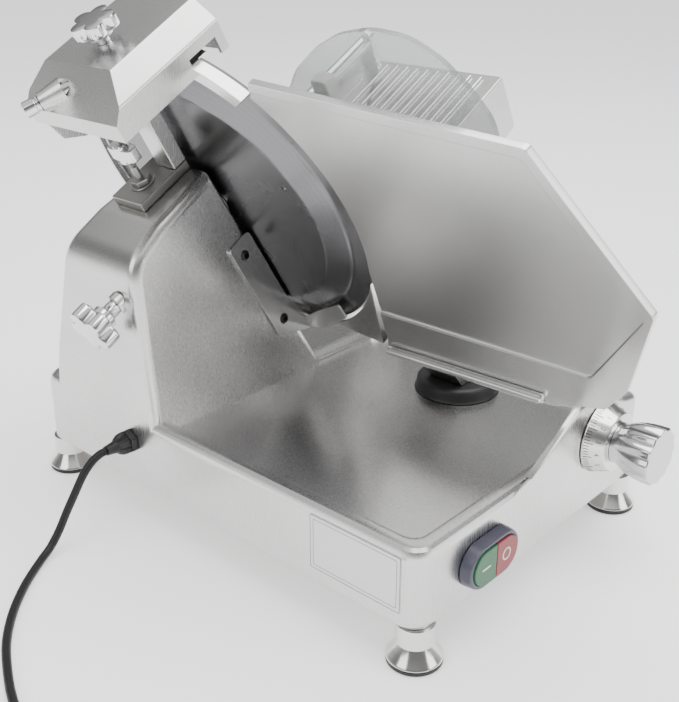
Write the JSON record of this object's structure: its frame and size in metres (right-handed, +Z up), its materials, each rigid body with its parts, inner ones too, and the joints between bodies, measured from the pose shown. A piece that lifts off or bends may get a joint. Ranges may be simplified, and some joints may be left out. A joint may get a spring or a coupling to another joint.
{
  "type": "deli meat slicer",
  "caption": "Gravity-feed deli slicer: tilted round blade, thickness gauge with dial, sliding food carriage, sharpener and mains cord.",
  "frame": {"origin": "on the floor, at the centre of the machine's bounding box seen from above, without the cord", "axes": "+Z up, -Y towards the operator (dial and switch side), +X to the operator's right (food carriage side)"},
  "size_m": [0.7855, 0.553, 0.4286],
  "materials": {
    "cast_aluminium": "satin polished casting",
    "anodised_plate": "fine brushed",
    "steel": "bright polished",
    "blade_steel": "mirror ground",
    "zinc_steel": "zinc plated",
    "cord_rubber": "matt black",
    "black_plastic": "fine grain",
    "grey_plastic": "smooth",
    "green_plastic": "smooth",
    "red_plastic": "smooth",
    "clear_acrylic": "polished clear",
    "stone": "rough abrasive"
  },
  "bodies": {
    "machine": {"base_casting": "cast_aluminium", "blade_bearing": "steel", "blade_cover": "anodised_plate", "bottom_cover": "zinc_steel", "cord_coil": "cord_rubber", "cord_gland": "black_plastic", "deflector_screw_lower": "steel", "deflector_screw_upper": "steel", "drive_belt": "cord_rubber", "foot_front_left": "steel", "foot_front_right": "steel", "foot_rear_left": "steel", "foot_rear_right": "steel", "gauge_rod": "steel", "gauge_rod_bracket": "zinc_steel", "gear_motor": "zinc_steel", "guard_ring": "cast_aluminium", "guide_rod": "steel", "lock_stud": "steel", "mains_cord": "cord_rubber", "mains_plug": "cord_rubber", "mount_nut": "zinc_steel", "pad_front_left": "cord_rubber", "pad_front_right": "cord_rubber", "pad_rear_left": "cord_rubber", "pad_rear_right": "cord_rubber", "rail_carrier": "cast_aluminium", "sharpener_mount": "zinc_steel", "slice_deflector": "anodised_plate", "switch_housing": "grey_plastic"},
    "blade_unit": {"blade": "blade_steel", "blade_shaft": "steel", "blade_pulley": "zinc_steel"},
    "motor_pulley": {"motor_pulley": "zinc_steel"},
    "tie_rod": {"tie_rod": "steel", "tie_rod_knob": "steel"},
    "gauge": {"gauge_plate": "anodised_plate", "gauge_post": "cast_aluminium", "post_boot": "cord_rubber", "gauge_slider": "zinc_steel"},
    "dial": {"dial_ring": "anodised_plate", "dial_knob": "cast_aluminium"},
    "carriage": {"carriage_table": "anodised_plate", "carriage_arm": "cast_aluminium", "slide_block": "zinc_steel", "hand_guard": "clear_acrylic", "pusher_rod": "steel"},
    "pusher": {"pusher_plate": "cast_aluminium", "pusher_sleeve": "black_plastic", "pusher_grip": "black_plastic"},
    "arm_knob": {"arm_knob": "black_plastic"},
    "start_button": {"start_button": "green_plastic"},
    "stop_button": {"stop_button": "red_plastic"},
    "sharpener": {"sharpener_hood": "cast_aluminium", "sharpener_post": "cast_aluminium"},
    "grinding_stone": {"grinding_stone": "stone"},
    "deburring_stone": {"deburring_stone": "stone"},
    "hood_knob": {"hood_knob": "steel"},
    "push_pin": {"push_pin": "steel"},
    "wing_knob": {"wing_knob": "steel"}
  },
  "joints": [
    {"name": "blade_spin", "type": "hinge", "parent": "machine", "child": "blade_unit", "pos_m": [-0.08555, 0.12158, 0.2649], "axis": [0.8746, 0, 0.4848], "continuous": true},
    {"name": "motor_spin", "type": "hinge", "parent": "machine", "child": "motor_pulley", "pos_m": [-0.02495, 0.14958, 0.15557], "axis": [0.8746, 0, 0.4848], "continuous": true},
    {"name": "tie_rod_turn", "type": "hinge", "parent": "machine", "child": "tie_rod", "pos_m": [-0.08555, 0.12158, 0.2649], "axis": [0.8746, 0, 0.4848], "range_deg": [0, 1080]},
    {"name": "gauge_slide", "type": "slide", "parent": "machine", "child": "gauge", "axis": [-1, 0, 0], "range_m": [-0.0069, 0.0103]},
    {"name": "dial_turn", "type": "hinge", "parent": "machine", "child": "dial", "pos_m": [0.02805, -0.18682, 0.095], "axis": [0, -1, 0], "range_deg": [-121, 181]},
    {"name": "carriage_slide", "type": "slide", "parent": "machine", "child": "carriage", "axis": [0, 1, 0], "range_m": [-0.235, 0.03]},
    {"name": "pusher_slide", "type": "slide", "parent": "carriage", "child": "pusher", "axis": [0.8746, 0, 0.4848], "range_m": [0, 0.22]},
    {"name": "arm_knob_turn", "type": "hinge", "parent": "carriage", "child": "arm_knob", "pos_m": [0.13835, 0.12118, 0.11], "axis": [1, 0, 0], "range_deg": [0, 720]},
    {"name": "start_press", "type": "slide", "parent": "machine", "child": "start_button", "axis": [0, 1, 0], "range_m": [0, 0.0025], "stiffness_N_per_m": 300},
    {"name": "stop_press", "type": "slide", "parent": "machine", "child": "stop_button", "axis": [0, 1, 0], "range_m": [0, 0.0025], "stiffness_N_per_m": 300},
    {"name": "sharpener_lift", "type": "slide", "parent": "machine", "child": "sharpener", "axis": [-0.4848, 0, 0.8746], "range_m": [0, 0.05]},
    {"name": "grinding_stone_spin", "type": "hinge", "parent": "sharpener", "child": "grinding_stone", "pos_m": [-0.1573, 0.09558, 0.39434], "axis": [0.8746, 0, 0.4848], "continuous": true},
    {"name": "deburring_stone_spin", "type": "hinge", "parent": "sharpener", "child": "deburring_stone", "pos_m": [-0.15827, 0.10158, 0.39609], "axis": [0.8746, 0, 0.4848], "continuous": true},
    {"name": "hood_knob_turn", "type": "hinge", "parent": "sharpener", "child": "hood_knob", "pos_m": [-0.20363, 0.11558, 0.39954], "axis": [-0.4848, 0, 0.8746], "range_deg": [0, 720]},
    {"name": "push_pin_press", "type": "slide", "parent": "sharpener", "child": "push_pin", "axis": [0.7574, -0.5, 0.4199], "range_m": [0, 0.008], "stiffness_N_per_m": 300},
    {"name": "wing_knob_turn", "type": "hinge", "parent": "machine", "child": "wing_knob", "pos_m": [-0.15333, 0.14958, 0.27992], "axis": [-0.4848, 0, 0.8746], "range_deg": [0, 720]}
  ],
  "couplings": [
    {"joint": "motor_spin", "follows": "blade_spin", "ratio": 1},
    {"joint": "dial_turn", "follows": "gauge_slide", "rad_per_m": 304.4}
  ]
}
